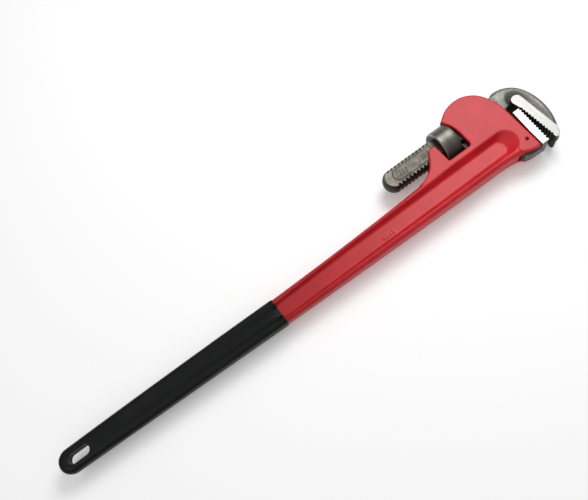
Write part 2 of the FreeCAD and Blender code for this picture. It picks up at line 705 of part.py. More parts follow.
def make_heel_jaw():
    body = new_body("heel_jaw")
    block = new_sketch(body, "heel_block")
    foot_x = size("heel_tooth_x") - math.tan(math.radians(size("heel_lean"))) * size("jaw_face_length")
    outline(block, [
        ("heel_seat_x", "heel_foot_y"),
        (foot_x, "heel_foot_y"),
        ("heel_tooth_x", "heel_tooth_y"),
        ("heel_top_x", "heel_tooth_y"),
        ("heel_seat_bend_x", "heel_seat_bend_y"),
    ])
    pad(body, "block", block, "2 * sizes.jaw_half_depth")
    tip_round = 4.0
    tongue = new_sketch(body, "heel_tongue")
    outline(tongue, [
        ("tongue_tail_x", "tongue_front_tail_y", "left", "tongue_belly_radius"),
        ("tongue_root_x", "tongue_front_root_y"),
        ("tongue_root_x", "tongue_back_y"),
        (size("tongue_tail_x") + tip_round, "tongue_back_y", "left", tip_round),
        ("tongue_tail_x", size("tongue_back_y") - tip_round),
    ])
    pad(body, "tongue", tongue, "2 * sizes.tongue_slot_half_width - 0.4")
    cut_teeth(body, "heel_tooth", "-sizes.heel_lean", "sizes.heel_teeth", 1)
    pin = new_sketch(body, "heel_pin_bore")
    circle(pin, "heel_pin_x", "heel_pin_y", size("heel_pin_radius") + 0.05)
    pocket(body, "pin_bore", pin)
    return body


def make_hook_jaw():
    body = new_body("hook_jaw", about_shank=True)
    rod = new_sketch(body, "shank_profile")
    radius = size("thread_radius")
    outline(rod, [
        ("shank_end_x", 0.0),
        ("hook_shoulder_x", 0.0),
        ("hook_shoulder_x", "thread_radius"),
        (size("shank_end_x") + radius, "thread_radius", "left", "thread_radius"),
    ])
    shank = body.newObject("PartDesign::Revolution", "shank")
    shank.Profile = rod
    shank.ReferenceAxis = (rod, ["H_Axis"])
    shank.Angle = 360.0
    finish_feature(body, shank, cuts=False)

    flats = new_sketch(body, "flats_profile", "YZ_Plane", z="sizes.shank_end_x - 5")
    clear = 25.0
    for side, beyond in (("", clear), ("-", -clear)):
        outline(flats, [
            (-clear, side + "shank_half_depth"),
            (clear, side + "shank_half_depth"),
            (clear, beyond),
            (-clear, beyond),
        ])
    pocket(body, "flats", flats, "sizes.hook_shoulder_x - sizes.shank_end_x + 60", both=False,
           reversed_side=True)

    cut_thread(body, "shank_thread")

    panel = new_sketch(body, "panel_outline")
    half = size("shank_panel_half_width")
    panel_start = size("shank_end_x") + size("shank_panel_inset")
    outline(panel, [
        (panel_start, -half),
        ("shank_panel_stop_x", -half),
        ("shank_panel_stop_x", half),
        (panel_start, half, "left", half + 1.0),
    ])
    pad(body, "panel", panel, "2 * (sizes.shank_half_depth + sizes.shank_panel_proud)")

    arm = new_sketch(body, "arm_outline")
    outline(arm, [
        ("arm_inner_x", "arm_inner_nose_y"),
        ("arm_throat_x", "arm_throat_y"),
        ("throat_corner_x", "throat_corner_y", "left", "throat_radius"),
        ("arm_root_x", "-thread_radius"),
        ("arm_root_x", "arm_root_back_y"),
        ("hook_shoulder_x", "hook_shoulder_y", "right", "hook_outer_radius"),
        ("hook_top_x", "hook_top_y", "right", "hook_side_radius"),
        ("overall_length", "hook_side_y", "right", "hook_nose_radius"),
        ("nose_back_x", "nose_back_y"),
        ("nose_tip_x", "nose_tip_y"),
    ])
    pad(body, "arm", arm, "2 * sizes.arm_half_depth")
    fillet(body, "arm_rounding", "sizes.arm_round", is_arm_back_edge)

    block = new_sketch(body, "hook_block")
    foot_x = size("hook_tooth_x") + math.tan(math.radians(size("hook_lean"))) * size("jaw_face_length")
    outline(block, [
        (foot_x, size("hook_tooth_y") - size("jaw_face_length")),
        ("hook_tooth_x", "hook_tooth_y"),
        ("block_throat_x", "block_throat_y", "right", "block_throat_radius"),
        ("block_top_x", "block_top_y"),
        ("block_back_x", "block_back_y"),
        ("block_nose_x", "block_nose_y"),
        ("block_tip_x", "block_tip_y"),
        ("block_bevel_x", "block_bevel_y"),
    ])
    pad(body, "block", block, "2 * sizes.jaw_half_depth")
    cut_teeth(body, "hook_tooth", "sizes.hook_lean", "sizes.hook_teeth", -1)
    return body


def is_arm_back_edge(edge):
    """Outer edges of the hook's arm, from the shank round to the nose."""
    box = edge.BoundBox
    return level(edge, size("arm_half_depth")) and box.XMax > 880.0 and box.XMin > 851.0 and box.YLength > 20.0


def cut_thread(body, name, inside=False):
    """Helical trapezoid groove about the shank's axis, cut into the shank or out of the nut's bore."""
    pitch = size("thread_pitch")
    gap = size("thread_clearance")
    crest = size("thread_radius")
    root = crest - size("thread_depth")
    groove = new_sketch(body, name + "_profile")
    if inside:
        # the nut's groove clears the shank's crests, half a pitch away from the shank's groove
        start = size("nut_x") - size("nut_length") / 2 - nut_thread_lead()
        outline(groove, [
            (start - 0.36 * pitch - gap / 2, root - 0.6),
            (start - 0.20 * pitch - gap / 2, crest + gap),
            (start + 0.20 * pitch + gap / 2, crest + gap),
            (start + 0.36 * pitch + gap / 2, root - 0.6),
        ])
        height = "sizes.nut_length + 2 * sizes.thread_pitch"
    else:
        start = size("thread_start_x")
        outline(groove, [
            (start - 0.34 * pitch, crest + 0.6),
            (start - 0.16 * pitch, root),
            (start + 0.16 * pitch, root),
            (start + 0.34 * pitch, crest + 0.6),
        ])
        height = "sizes.thread_stop_x - sizes.thread_start_x"
    thread = body.newObject("PartDesign::SubtractiveHelix", name)
    thread.Profile = groove
    thread.ReferenceAxis = (groove, ["H_Axis"])
    thread.Mode = "pitch-height-angle"
    thread.setExpression("Pitch", "sizes.thread_pitch")
    thread.setExpression("Height", height)
    return finish_feature(body, thread, cuts=True)


def nut_thread_lead():
    """How far before the nut its groove starts, so that it lies half a pitch from the shank's."""
    pitch = size("thread_pitch")
    nut_start = size("nut_x") - size("nut_length") / 2
    turns = (nut_start - pitch - size("thread_start_x")) / pitch
    return nut_start - size("thread_start_x") - (math.floor(turns) + 0.5) * pitch


# ---------------------------------------------------------------- adjusting nut
def make_nut():
    body = new_body("adjusting_nut", about_shank=True)
    start = size("nut_x") - size("nut_length") / 2
    stop = size("nut_x") + size("nut_length") / 2
    bore = size("thread_radius") - size("thread_depth") + size("thread_clearance")
    rim = size("nut_outer_radius")
    chamfer = size("nut_chamfer")
    mouth = 1.8
    ring = new_sketch(body, "ring_profile")
    outline(ring, [
        (start, bore + mouth),
        (start + mouth, bore),
        (stop - mouth, bore),
        (stop, bore + mouth),
        (stop, rim - chamfer),
        (stop - chamfer, "nut_outer_radius"),
        (start + chamfer, "nut_outer_radius"),
        (start, rim - chamfer),
    ])
    nut = body.newObject("PartDesign::Revolution", "ring")
    nut.Profile = ring
    nut.ReferenceAxis = (ring, ["H_Axis"])
    nut.Angle = 360.0
    finish_feature(body, nut, cuts=False)
    cut_thread(body, "nut_thread", inside=True)
    return body


# ---------------------------------------------------------------- heel jaw's pin and the spring set
def make_heel_pin():
    """Slotted spring pin across the head and the heel jaw's tongue."""
    body = new_body("heel_jaw_pin")
    ring = new_sketch(body, "pin_section")
    circle(ring, "heel_pin_x", "heel_pin_y", size("heel_pin_radius") - 0.02)
    circle(ring, "heel_pin_x", "heel_pin_y", size("heel_pin_radius") - size("heel_pin_wall"))
    pad(body, "tube", ring, "2 * sizes.heel_pin_half_length")
    slit = new_sketch(body, "slit_outline")
    half_slit = 0.45
    x = size("heel_pin_x")
    y = size("heel_pin_y")
    outline(slit, [(x - half_slit, y), (x + half_slit, y), (x + half_slit, y + 4.0), (x - half_slit, y + 4.0)])
    pocket(body, "slit", slit)
    return body


def leaf_inner_y():
    """The leaf's face on the shank's side, from the casting's axis."""
    return size("shank_axis_y") + size("thread_radius") + size("leaf_gap")


def make_flat_spring():
    """Leaf behind the shank, its ends turned up so that they slide on the thread crests."""
    body = new_body("flat_spring")
    low = leaf_inner_y()
    high = low + size("leaf_thickness")
    start = size("leaf_start_x")
    stop = size("leaf_stop_x")
    turn_up = 7.0
    rise = 1.0
    leaf = new_sketch(body, "leaf_outline")
    outline(leaf, [
        (start, low + rise),
        (start + turn_up, low),
        (stop - turn_up, low),
        (stop, low + rise),
        (stop, high + rise),
        (stop - turn_up, high),
        (start + turn_up, high),
        (start, high + rise),
    ])
    pad(body, "leaf", leaf, "2 * sizes.leaf_half_width")
    hole = new_sketch(body, "rivet_hole_circle", "XZ_Plane", z=str(-low + 1.0))
    circle(hole, "spring_pocket_x", 0.0, size("rivet_radius") + 0.05)
    pocket(body, "rivet_hole", hole, "6", both=False)
    return body


def make_spring_rivet():
    """Rivet with a flush head in the leaf and a round head inside the coil's first turn."""
    body = new_body("spring_rivet")
    low = leaf_inner_y()
    high = low + size("leaf_thickness")
    shank = size("rivet_radius")
    head = 3.6
    profile = new_sketch(body, "rivet_profile", x="sizes.spring_pocket_x")
    outline(profile, [
        (0.0, low + 0.1),
        (shank, low + 0.1),
        (shank, high + 0.05),
        (head, high + 0.05),
        (head, high + 0.8),
        (0.0, high + 2.0),
    ])
    rivet = body.newObject("PartDesign::Revolution", "rivet")
    rivet.Profile = profile
    rivet.ReferenceAxis = (profile, ["V_Axis"])
    rivet.Angle = 360.0
    finish_feature(body, rivet, cuts=False)
    return body


def make_coil_spring():
    """Coil between the leaf and the bottom of its pocket in the hump."""
    body = new_body("coil_spring")
    wire = size("coil_wire_radius")
    low = leaf_inner_y() + size("leaf_thickness") + wire + 0.1
    high = size("spring_pocket_end_y") - wire - 0.15
    section = new_sketch(body, "wire_section", x="sizes.spring_pocket_x")
    circle(section, "coil_mean_radius", low, "coil_wire_radius")
    coil = body.newObject("PartDesign::AdditiveHelix", "coil")
    coil.Profile = section
    coil.ReferenceAxis = (section, ["V_Axis"])
    coil.Mode = "height-turns-angle"
    coil.Height = high - low
    coil.setExpression("Turns", "sizes.coil_turns")
    finish_feature(body, coil, cuts=False)
    return body


# ---------------------------------------------------------------- build, check, export
def check_document():
    """Stop on any failed object."""
    doc.recompute()
    for item in doc.Objects:
        if "Invalid" in item.State or "Error" in item.State:
            raise RuntimeError("%s is %s" % (item.Label, item.State))


def export(pieces):
    """Write each piece's solid to parts/LABEL.step."""
    os.makedirs("parts", exist_ok=True)
    for piece in pieces:
        shape = piece.Shape
        if shape.isNull() or not shape.isValid() or len(shape.Solids) != 1:
            raise RuntimeError("%s has no single valid solid" % piece.Label)
        shape.exportStep("parts/%s.step" % piece.Label)
        box = shape.BoundBox
        print("%-14s %9.0f mm3  x %.1f..%.1f" % (piece.Label, shape.Volume, box.XMin, box.XMax))


handle = make_handle()
pieces = [
    handle,
    make_grip(handle),
    make_heel_jaw(),
    make_heel_pin(),
    make_hook_jaw(),
    make_nut(),
    make_flat_spring(),
    make_spring_rivet(),
    make_coil_spring(),
]
check_document()
export(pieces)
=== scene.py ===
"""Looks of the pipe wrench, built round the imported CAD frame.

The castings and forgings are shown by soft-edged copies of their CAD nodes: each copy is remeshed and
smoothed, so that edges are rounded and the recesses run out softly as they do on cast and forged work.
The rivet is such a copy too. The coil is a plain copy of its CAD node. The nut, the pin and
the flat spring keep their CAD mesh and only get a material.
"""
import math

import bmesh
import bpy
import numpy as np
from mathutils import Matrix, Vector
from mathutils.bvhtree import BVHTree


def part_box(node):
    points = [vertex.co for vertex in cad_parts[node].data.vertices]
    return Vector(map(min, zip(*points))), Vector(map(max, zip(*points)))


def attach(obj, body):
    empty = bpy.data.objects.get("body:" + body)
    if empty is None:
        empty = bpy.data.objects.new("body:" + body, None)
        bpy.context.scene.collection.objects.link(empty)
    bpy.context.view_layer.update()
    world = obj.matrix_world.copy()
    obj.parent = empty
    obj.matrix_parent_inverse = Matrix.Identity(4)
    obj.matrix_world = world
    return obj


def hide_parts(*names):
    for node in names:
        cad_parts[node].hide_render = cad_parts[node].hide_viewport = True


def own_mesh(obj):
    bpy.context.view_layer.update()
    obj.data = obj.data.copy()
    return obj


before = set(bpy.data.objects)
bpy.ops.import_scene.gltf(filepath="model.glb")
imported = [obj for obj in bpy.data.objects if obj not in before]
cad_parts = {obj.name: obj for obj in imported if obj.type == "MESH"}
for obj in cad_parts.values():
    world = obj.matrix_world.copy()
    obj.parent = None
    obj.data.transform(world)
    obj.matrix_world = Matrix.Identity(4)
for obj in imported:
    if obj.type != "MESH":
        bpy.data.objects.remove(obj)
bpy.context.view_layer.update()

MM = 0.001

# ---------------------------------------------------------------- places taken from the frame
# Here and below, a FADE is a pair of places: a share is 0 at the first and 1 at the second.
nut_low, nut_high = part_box("adjusting_nut")
hook_low, hook_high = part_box("hook_jaw")
heel_low, heel_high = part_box("heel_jaw")
grip_low, grip_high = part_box("grip")
AXIS_Y = (nut_low[1] + nut_high[1]) / 2
MID_Z = (nut_low[2] + nut_high[2]) / 2
JAW_HALF_DEPTH = (hook_high[2] - hook_low[2]) / 2
NUT_RADIUS = (nut_high[1] - nut_low[1]) / 2

# The hook's ground block: its throat end is an arc, its back edge leans outwards toward the nose.
BLOCK_MID_X = hook_high[0] - 33.2 * MM
BLOCK_MID_Y = AXIS_Y - 16.0 * MM
BLOCK_RADIUS = 9.5 * MM
BLOCK_LEAN = 5.0 / 75.0


# ---------------------------------------------------------------- node helpers
class Shader:
    """A material's node tree with short ways to add and join nodes."""

    def __init__(self, name):
        self.material = bpy.data.materials.new(name)
        self.material.use_nodes = True
        self.tree = self.material.node_tree
        self.surface = self.tree.nodes["Principled BSDF"]
        self.place = self.add("ShaderNodeTexCoord").outputs["Object"]

    def add(self, kind, inputs=None, **settings):
        """A new node with its settings and what goes into its sockets."""
        node = self.tree.nodes.new(kind)
        for key, value in settings.items():
            setattr(node, key, value)
        for key, value in (inputs or {}).items():
            self.put(node.inputs[key], value)
        return node

    def put(self, socket, value):
        """Link another node's output to a socket, or give the socket a constant."""
        if isinstance(value, bpy.types.NodeSocket):
            self.tree.links.new(value, socket)
        else:
            socket.default_value = value

    def set(self, **values):
        """Sockets of the shader, with spaces written as underscores."""
        for key, value in values.items():
            self.put(self.surface.inputs[key.replace("_", " ")], value)

    def noise(self, scale, detail=3.0, rough=0.55, stretch=None):
        """Noise between 0 and 1; scale in features per metre, stretch multiplies it along x, y, z."""
        where = self.place
        if stretch:
            where = self.add("ShaderNodeMapping", {"Vector": where, "Scale": stretch}).outputs[0]
        node = self.add("ShaderNodeTexNoise", {"Vector": where, "Scale": scale, "Detail": detail,
                                               "Roughness": rough})
        return node.outputs["Fac"]

    def ramp(self, value, low, high):
        """0 at low and 1 at high, smoothly; low above high turns it round."""
        node = self.add("ShaderNodeMapRange", {"Value": value, "From Min": low, "From Max": high},
                        interpolation_type="SMOOTHSTEP")
        return node.outputs[0]

    def math(self, operation, first, second=0.0):
        """One arithmetic step."""
        node = self.add("ShaderNodeMath", {0: first, 1: second}, operation=operation)
        return node.outputs[0]

    def both(self, first, second):
        """The share of a surface that lies in two shares at once, or a share weakened by a number."""
        return self.math("MULTIPLY", first, second)

    def other(self, share):
        """All of the surface that isn't in a share."""
        return self.math("SUBTRACT", 1.0, share)

    def squares(self, first, second):
        """Sum of two squares."""
        return self.math("ADD", self.math("MULTIPLY", first, first), self.math("MULTIPLY", second, second))

    def mix_node(self, kind, share, first, second):
        """Mix of two values of a kind."""
        node = self.add("ShaderNodeMix", data_type=kind)
        self.put(node.inputs["Factor"], share)
        self.put(node.inputs["A"], first)
        self.put(node.inputs["B"], second)
        return node.outputs["Result"]

    def mix(self, share, first, second):
        """Mix of two colours."""
        return self.mix_node("RGBA", share, first, second)

    def blend(self, share, first, second):
        """Mix of two numbers."""
        return self.mix_node("FLOAT", share, first, second)

    def cover(self, tone, share, strength, top):
        """A tone with another colour over it: strength says how opaque it is where the share is 1."""
        return self.mix(self.both(share, strength), tone, top)

    def bump(self, height, depth, strength=1.0, under=None):
        """Bump of a real depth in metres, on top of another bump if one is given."""
        inputs = {"Height": height, "Distance": depth, "Strength": strength}
        if under is not None:
            inputs["Normal"] = under
        return self.add("ShaderNodeBump", inputs).outputs[0]

    def axis(self, name):
        """One of the position's X, Y, Z in metres."""
        return self.add("ShaderNodeSeparateXYZ", {0: self.place}).outputs[name]

    def along(self, name, fade):
        """0 at the first and 1 at the second of two places on one axis."""
        return self.ramp(self.axis(name), *fade)

    def from_middle(self, name, middle):
        """Distance from a middle plane along one axis."""
        return self.math("ABSOLUTE", self.math("SUBTRACT", self.axis(name), middle))

    def facing(self, name):
        """One of the surface normal's X, Y, Z."""
        normal = self.add("ShaderNodeTexCoord").outputs["Normal"]
        return self.add("ShaderNodeSeparateXYZ", {0: normal}).outputs[name]

    def sideways(self):
        """1 on surfaces that face the wrench's two flat sides, 0 on those that face along or across it."""
        return self.ramp(self.math("ABSOLUTE", self.facing("Z")), 0.55, 0.95)

    def hollows(self, reach):
        """1 deep in gaps and grooves, 0 on open surfaces."""
        node = self.add("ShaderNodeAmbientOcclusion", {"Distance": reach}, samples=8, only_local=True)
        return self.ramp(node.outputs["AO"], 0.92, 0.45)

    def edges(self, low, high):
        """1 on sharp outer edges and 0 on flats; values below 0.5 with low above high give grooves."""
        point = self.add("ShaderNodeNewGeometry").outputs["Pointiness"]
        return self.ramp(point, low, high)


def colour(red, green, blue):
    """A colour given in 0 to 255 display steps, as the linear colour that the shader wants."""
    steps = [value / 255.0 for value in (red, green, blue)]
    return tuple(v / 12.92 if v <= 0.04045 else ((v + 0.055) / 1.055) ** 2.4 for v in steps) + (1.0,)


# ---------------------------------------------------------------- enamel of the casting
ENAMEL_TONES = colour(198, 30, 40), colour(210, 38, 46)
ENAMEL_SPOT = colour(180, 22, 34)
# Painted shade: the enamel darkens toward the tail in place of the key lamp's fall-off along the handle.
ENAMEL_SHADED_AT_TAIL = colour(138, 17, 20)
ENAMEL_AT_EDGE = colour(158, 24, 32)
ENAMEL_CHIP = colour(96, 40, 40)
ENAMEL_GREASE_AND_SHADE = colour(52, 12, 14)
TAIL_SHADE_FADE_X = (260 * MM, -260 * MM)
# The channel for the shank, whose walls are greasy and painted darker for shade; the depth is counted from the
# middle plane.
CHANNEL_FADE_DEPTH = (14.6 * MM, 12.8 * MM)
CHANNEL_FADE_Y = (-9 * MM, -7 * MM)
CHANNEL_FADE_X = (nut_low[0] - 8 * MM, nut_low[0] - 2 * MM)
HEAD_BACK_FADE_Y = (15 * MM, 20 * MM)
FACING_BACK_FADE = (0.2, 0.5)


def make_enamel():
    """Red enamel over a sand casting: a glossy skin that softly follows the casting's grain."""
    s = Shader("red_enamel")
    grain = s.noise(420.0, 4.0, 0.6)
    swell = s.noise(28.0, 2.0)
    tone = s.mix(s.ramp(swell, 0.35, 0.7), *ENAMEL_TONES)
    spots = s.ramp(s.noise(150.0, 5.0), 0.62, 0.8)
    tone = s.mix(spots, tone, ENAMEL_SPOT)
    # Painted shade toward the tail of the handle.
    tone = s.cover(tone, s.along("X", TAIL_SHADE_FADE_X), 0.8, ENAMEL_SHADED_AT_TAIL)
    tone = s.cover(tone, s.edges(0.505, 0.55), 0.5, ENAMEL_AT_EDGE)
    chips = s.both(s.edges(0.53, 0.6), s.ramp(s.noise(230.0, 5.0), 0.56, 0.66))
    tone = s.cover(tone, chips, 0.75, ENAMEL_CHIP)
    # Greasy channel walls with painted shade, where the nut and the head shade them.
    inside = s.ramp(s.from_middle("Z", MID_Z), *CHANNEL_FADE_DEPTH)
    inside = s.both(inside, s.along("Y", CHANNEL_FADE_Y))
    inside = s.both(inside, s.along("X", CHANNEL_FADE_X))
    outside = s.both(s.ramp(s.facing("Y"), *FACING_BACK_FADE), s.along("Y", HEAD_BACK_FADE_Y))
    inside = s.both(inside, s.other(outside))
    grease_and_shade = s.both(inside, s.ramp(s.noise(90.0, 3.0), 0.2, 0.45))
    tone = s.mix(grease_and_shade, tone, ENAMEL_GREASE_AND_SHADE)
    s.set(Base_Color=tone, Roughness=s.blend(s.ramp(grain, 0.3, 0.8), 0.4, 0.5))
    s.set(Specular_IOR_Level=0.3, Coat_Weight=0.1, Coat_Roughness=0.22)
    sand = s.bump(s.noise(190.0, 3.0), 0.22 * MM, 0.55)
    s.set(Normal=s.bump(s.noise(900.0, 2.0), 0.05 * MM, 0.5, sand))
    return s.material


# ---------------------------------------------------------------- vinyl of the sleeve
VINYL_TONES = colour(10, 11, 11), colour(16, 17, 17)
VINYL_SCUFF = colour(52, 53, 53)


def make_vinyl():
    """Dipped black vinyl: satin, slightly uneven, with fine scuffs along the grip."""
    s = Shader("black_vinyl")
    scuff = s.ramp(s.noise(260.0, 5.0, 0.7, stretch=(0.25, 1.0, 1.0)), 0.6, 0.78)
    tone = s.mix(s.ramp(s.noise(35.0), 0.3, 0.75), *VINYL_TONES)
    tone = s.cover(tone, scuff, 0.3, VINYL_SCUFF)
    s.set(Base_Color=tone, Roughness=s.blend(scuff, 0.42, 0.6))
    s.set(Specular_IOR_Level=0.2)
    waves = s.bump(s.noise(120.0), 0.25 * MM, 0.4)
    s.set(Normal=s.bump(s.noise(1500.0, 2.0), 0.04 * MM, 0.5, waves))
    return s.material


# ---------------------------------------------------------------- ground faces of both jaws
GROUND_FADE_DEPTH = (JAW_HALF_DEPTH - 0.9 * MM, JAW_HALF_DEPTH - 0.35 * MM)
GROUND_EDGE = 0.5 * MM
# Dark tooth gaps: oxidised steel with painted shade.
TOOTH_OXIDE_AND_SHADE = colour(38, 38, 36)


def ground_share(s, low_x):
    """1 on a jaw's ground side faces, the outermost flats in the thickness, on the jaw side of low_x."""
    outer = s.ramp(s.from_middle("Z", MID_Z), *GROUND_FADE_DEPTH)
    return s.both(outer, s.along("X", (low_x - GROUND_EDGE, low_x + GROUND_EDGE)))


def grinding(s, direction):
    """Fine straight grinding lines."""
    return s.noise(1400.0, 3.0, 0.6, stretch=direction)


# ---------------------------------------------------------------- steel of the hook jaw
FORGED_TONES = colour(92, 89, 81), colour(114, 111, 102)
FORGED_PIT = colour(78, 75, 68)
ARM_TONES = colour(114, 113, 109), colour(134, 133, 129)
ARM_OXIDE_AND_SHADE = colour(58, 54, 49)
SHANK_PAINTED_SHADE = colour(26, 25, 21)
THREAD_OIL_AND_SHADE = colour(44, 43, 38)
WORN_EDGE = colour(176, 174, 168)
SHANK_GREASE_AND_SHADE = colour(34, 32, 28)
HOOK_GROUND_TONES = colour(150, 150, 146), colour(178, 178, 173)
HOOK_GROUND_X = hook_high[0] - 60 * MM
ARM_FADE_X = (hook_high[0] - 64 * MM, hook_high[0] - 52 * MM)
OXIDE_SHADE_FADE_GAP = (17 * MM, 0.5 * MM)
THROAT_FADE_Y = (BLOCK_MID_Y - 24 * MM, BLOCK_MID_Y + 4 * MM)
# Where the painted shade on the shank's front side fades out toward its back.
BACK_THREAD_FADE_Y = (AXIS_Y + 13 * MM, AXIS_Y + 9 * MM)
NOSE_FADE_Y = (hook_low[1] + 5 * MM, hook_low[1] + 2 * MM)
HOOK_TEETH_FADE_X = (BLOCK_MID_X + 2 * MM, BLOCK_MID_X - 1 * MM)
HOOK_TEETH_FADE_Y = (BLOCK_MID_Y + 4 * MM, BLOCK_MID_Y - 2 * MM)
# The part of the shank that is inside the head at rest, between the nut and the arm: greasy, and painted darker
# for the shade inside the head.
IN_HEAD_FADE_NUT_X = (nut_high[0] - 6 * MM, nut_high[0] - 3 * MM)
IN_HEAD_FADE_ARM_X = (hook_high[0] - 64 * MM, hook_high[0] - 70 * MM)


def block_distance(s):
    """Distance on the hook's side faces from the outline of the ground block, in metres."""
    toward_nose = s.math("MINIMUM", s.math("SUBTRACT", s.axis("Y"), BLOCK_MID_Y), 0.0)
    lean = s.math("MULTIPLY", toward_nose, BLOCK_LEAN)
    out = s.math("ADD", s.math("SUBTRACT", s.axis("X"), BLOCK_MID_X), lean)
    up = s.math("MAXIMUM", s.math("SUBTRACT", s.axis("Y"), BLOCK_MID_Y), 0.0)
    return s.math("SUBTRACT", s.math("SQRT", s.squares(out, up)), BLOCK_RADIUS)


def make_forged():
    """Hook jaw: drop forged and blasted, oxidised grey with painted shade in the hollows, with ground side
    faces on the block.
    """
    s = Shader("forged_steel")
    ground = ground_share(s, HOOK_GROUND_X)
    patch = s.ramp(s.noise(60.0, 4.0, 0.6), 0.3, 0.72)
    raw = s.mix(patch, *FORGED_TONES)
    pits = s.ramp(s.noise(700.0, 3.0, 0.7), 0.55, 0.75)
    raw = s.mix(pits, raw, FORGED_PIT)
    arm = s.along("X", ARM_FADE_X)
    silver = s.mix(s.ramp(s.noise(260.0, 4.0), 0.3, 0.7), *ARM_TONES)
    raw = s.mix(arm, raw, silver)
    # Oxidised steel and painted shade on the arm beside the ground block, heavier toward the throat under the
    # hook.
    near = s.ramp(block_distance(s), *OXIDE_SHADE_FADE_GAP)
    throat = s.along("Y", THROAT_FADE_Y)
    oxide_and_shade = s.both(s.both(near, arm), s.blend(throat, 0.45, 0.95))
    raw = s.mix(oxide_and_shade, raw, ARM_OXIDE_AND_SHADE)
    # Painted shade in the shank's grooves and hollows, heavier on its front side, which faces away from the key
    # lamp.
    front = s.along("Y", BACK_THREAD_FADE_Y)
    painted_shade = s.math("MAXIMUM", s.hollows(5 * MM), s.edges(0.49, 0.455))
    painted_shade = s.both(painted_shade, s.blend(front, 0.3, 0.88))
    raw = s.mix(painted_shade, raw, SHANK_PAINTED_SHADE)
    # Oil and painted shade darken the faces of the thread.
    thread = s.other(s.math("MAXIMUM", s.sideways(), arm))
    raw = s.cover(raw, thread, 0.75, THREAD_OIL_AND_SHADE)
    raw = s.cover(raw, s.edges(0.52, 0.58), 0.5, WORN_EDGE)
    # Oxidised steel and painted shade on the hook's nose and in its tooth gaps.
    nose = s.along("Y", NOSE_FADE_Y)
    teeth = s.both(s.along("X", HOOK_TEETH_FADE_X), s.both(arm, s.along("Y", HOOK_TEETH_FADE_Y)))
    raw = s.cover(raw, s.math("MAXIMUM", nose, teeth), 0.9, TOOTH_OXIDE_AND_SHADE)
    lines = grinding(s, (1.0, 0.06, 1.0))
    bright = s.mix(s.ramp(lines, 0.35, 0.7), *HOOK_GROUND_TONES)
    # Greasy shank with painted shade where the head covers it at rest.
    in_head = s.both(s.along("X", IN_HEAD_FADE_NUT_X), s.along("X", IN_HEAD_FADE_ARM_X))
    raw = s.cover(raw, in_head, 0.85, SHANK_GREASE_AND_SHADE)
    s.set(Base_Color=s.mix(ground, raw, bright), Metallic=s.blend(ground, 0.7, 0.55))
    s.set(Roughness=s.blend(ground, s.blend(patch, 0.54, 0.44), s.blend(lines, 0.32, 0.44)))
    blasted = s.bump(s.both(s.noise(520.0, 4.0, 0.65), s.other(ground)), 0.2 * MM, 0.7)
    s.set(Normal=s.bump(lines, 0.01 * MM, 0.4, blasted))
    return s.material


# ---------------------------------------------------------------- steel of the heel jaw
HEEL_RAW_TONES = colour(84, 82, 77), colour(108, 106, 100)
HEEL_GROUND_TONES = colour(206, 206, 203), colour(230, 230, 227)
HEEL_GROUND_X = heel_low[0] + 10 * MM
HEEL_TEETH_FADE_X = (heel_high[0] - 8 * MM, heel_high[0] - 4 * MM)


def make_jaw_steel():
    """Heel jaw: hardened steel with ground sides and a dull, dark tongue; its tooth gaps are dark, oxidised and
    in painted shade.
    """
    s = Shader("ground_jaw_steel")
    ground = ground_share(s, HEEL_GROUND_X)
    raw = s.mix(s.ramp(s.noise(140.0, 4.0), 0.3, 0.7), *HEEL_RAW_TONES)
    # Oxidised steel and painted shade in the heel's tooth gaps.
    raw = s.cover(raw, s.along("X", HEEL_TEETH_FADE_X), 0.85, TOOTH_OXIDE_AND_SHADE)
    lines = grinding(s, (0.06, 1.0, 1.0))
    bright = s.mix(s.ramp(lines, 0.35, 0.7), *HEEL_GROUND_TONES)
    s.set(Base_Color=s.mix(ground, raw, bright), Metallic=s.blend(ground, 0.7, 0.35))
    s.set(Roughness=s.blend(ground, 0.5, s.blend(lines, 0.32, 0.44)))
    skin = s.bump(s.noise(420.0, 3.0), 0.1 * MM, 0.5)
    s.set(Normal=s.bump(lines, 0.012 * MM, 0.4, skin))
    return s.material


# ---------------------------------------------------------------- steel of the nut and the small pieces
NUT_TONES = colour(98, 96, 90), colour(122, 120, 113)
NUT_KNURL = colour(74, 73, 67)
NUT_BORE_SHADE = colour(40, 39, 35)
NUT_RIM_HIGHLIGHT = colour(176, 174, 166)
KNURL_FADE_X = (nut_low[0] + 22 * MM, nut_low[0] + 27 * MM)
RIM_FADE_X = (nut_low[0] + 2.2 * MM, nut_low[0] + 1.2 * MM)
# Squared distances from the nut's axis, from its outer skin inward.
BORE_FADE_SQUARE = ((NUT_RADIUS - 1 * MM) ** 2, (NUT_RADIUS - 3 * MM) ** 2)
PIN_TONES = colour(40, 38, 36), colour(70, 68, 64)
SPRING_TONES = colour(70, 72, 78), colour(120, 120, 122)


